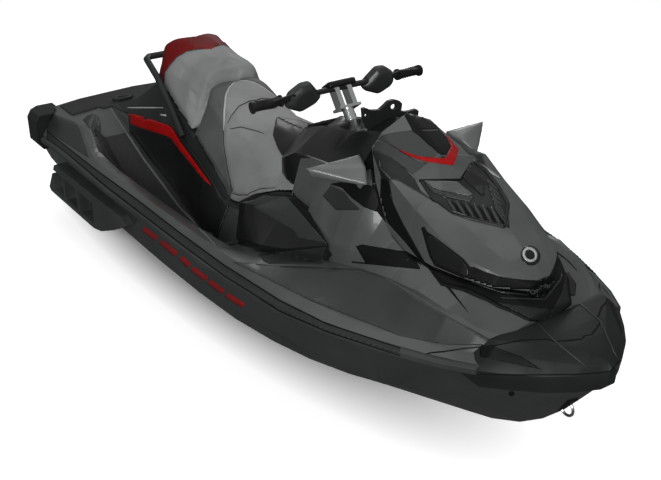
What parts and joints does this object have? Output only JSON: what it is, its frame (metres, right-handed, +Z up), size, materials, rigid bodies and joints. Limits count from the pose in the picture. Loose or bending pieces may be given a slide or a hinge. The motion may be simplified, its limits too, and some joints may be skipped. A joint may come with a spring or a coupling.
{
  "type": "personal watercraft",
  "caption": "Personal watercraft with a deep-V hull, straddle seats, tilted handlebar, forward-hinged hood and a jet pump with a steered nozzle.",
  "frame": {"origin": "on the waterplane, on the centreline under the rider, 1.6 m forward of the transom and 0.27 m above the keel", "axes": "+X forward to the bow, +Y to port, +Z up"},
  "size_m": [3.3605, 1.25, 1.1204],
  "materials": {
    "hull_dark": "gloss gelcoat",
    "deck_grey": "satin metallic",
    "gloss_black": "gloss",
    "black_plastic": "matt",
    "rail_rubber": "matt",
    "mat_rubber": "matt",
    "seat_grey": "grained",
    "seat_red": "grained",
    "alloy": "cast",
    "bucket_plastic": "matt",
    "polished": "polished",
    "bar_black": "satin",
    "grip_rubber": "matt",
    "stainless": "brushed"
  },
  "bodies": {
    "craft": {"hull": "hull_dark", "intake_grate": "alloy", "deck": "deck_grey", "foredeck": "deck_grey", "rub_rail_port": "rail_rubber", "rub_rail_starboard": "rail_rubber", "bow_bumper": "black_plastic", "stern_bumper_port": "black_plastic", "stern_bumper_starboard": "black_plastic", "pedestal": "black_plastic", "footwell_mat_port": "mat_rubber", "footwell_mat_starboard": "mat_rubber", "rear_mat": "mat_rubber", "side_panel_port": "gloss_black", "side_panel_starboard": "gloss_black", "seat_driver": "seat_grey", "seat_passenger": "seat_red", "console": "gloss_black", "cowl": "deck_grey", "nose_cowl": "deck_grey", "knee_box_port": "gloss_black", "knee_box_starboard": "gloss_black", "storage_bin": "black_plastic", "engine": "alloy", "sponson_port": "black_plastic", "sponson_starboard": "black_plastic", "ride_plate": "alloy", "pump_housing": "alloy", "gauge": "black_plastic", "mirror_port": "black_plastic", "mirror_starboard": "black_plastic", "grab_handle": "black_plastic", "tow_hook": "stainless", "bow_eye": "stainless", "cargo_cleat_port": "black_plastic", "cargo_cleat_starboard": "black_plastic"},
    "steering": {"steering_riser": "polished", "handlebar": "bar_black", "grips": "grip_rubber", "lever_housings": "black_plastic", "control_levers": "bar_black", "bar_pad": "black_plastic"},
    "hood": {"hood": "deck_grey", "hood_grille": "black_plastic"},
    "glovebox_lid": {"glovebox_lid": "black_plastic"},
    "trim_ring": {"trim_ring": "alloy"},
    "steering_nozzle": {"steering_nozzle": "alloy"},
    "reverse_bucket": {"reverse_bucket": "bucket_plastic"},
    "impeller": {"impeller": "stainless", "drive_shaft": "stainless"}
  },
  "joints": [
    {"name": "steering_turn", "type": "hinge", "parent": "craft", "child": "steering", "pos_m": [0.35, 0, 0.73], "axis": [-0.5878, 0, 0.809], "range_deg": [-25, 25]},
    {"name": "hood_hinge", "type": "hinge", "parent": "craft", "child": "hood", "pos_m": [1.396, 0, 0.43], "axis": [0, 1, 0], "range_deg": [0, 60]},
    {"name": "glovebox_hinge", "type": "hinge", "parent": "craft", "child": "glovebox_lid", "pos_m": [0.20183, 0, 0.61889], "axis": [0, -1, 0], "range_deg": [0, 70]},
    {"name": "trim_tilt", "type": "hinge", "parent": "craft", "child": "trim_ring", "pos_m": [-1.41, 0, -0.105], "axis": [0, 1, 0], "range_deg": [-8, 8]},
    {"name": "nozzle_turn", "type": "hinge", "parent": "trim_ring", "child": "steering_nozzle", "pos_m": [-1.41, 0, -0.105], "axis": [0, 0, 1], "range_deg": [-20, 20]},
    {"name": "bucket_drop", "type": "hinge", "parent": "craft", "child": "reverse_bucket", "pos_m": [-1.368, 0, -0.105], "axis": [0, -1, 0], "range_deg": [0, 56]},
    {"name": "impeller_spin", "type": "hinge", "parent": "craft", "child": "impeller", "pos_m": [-1.182, 0, -0.105], "axis": [1, 0, 0], "continuous": true}
  ],
  "couplings": [
    {"joint": "nozzle_turn", "follows": "steering_turn", "ratio": -0.8}
  ]
}
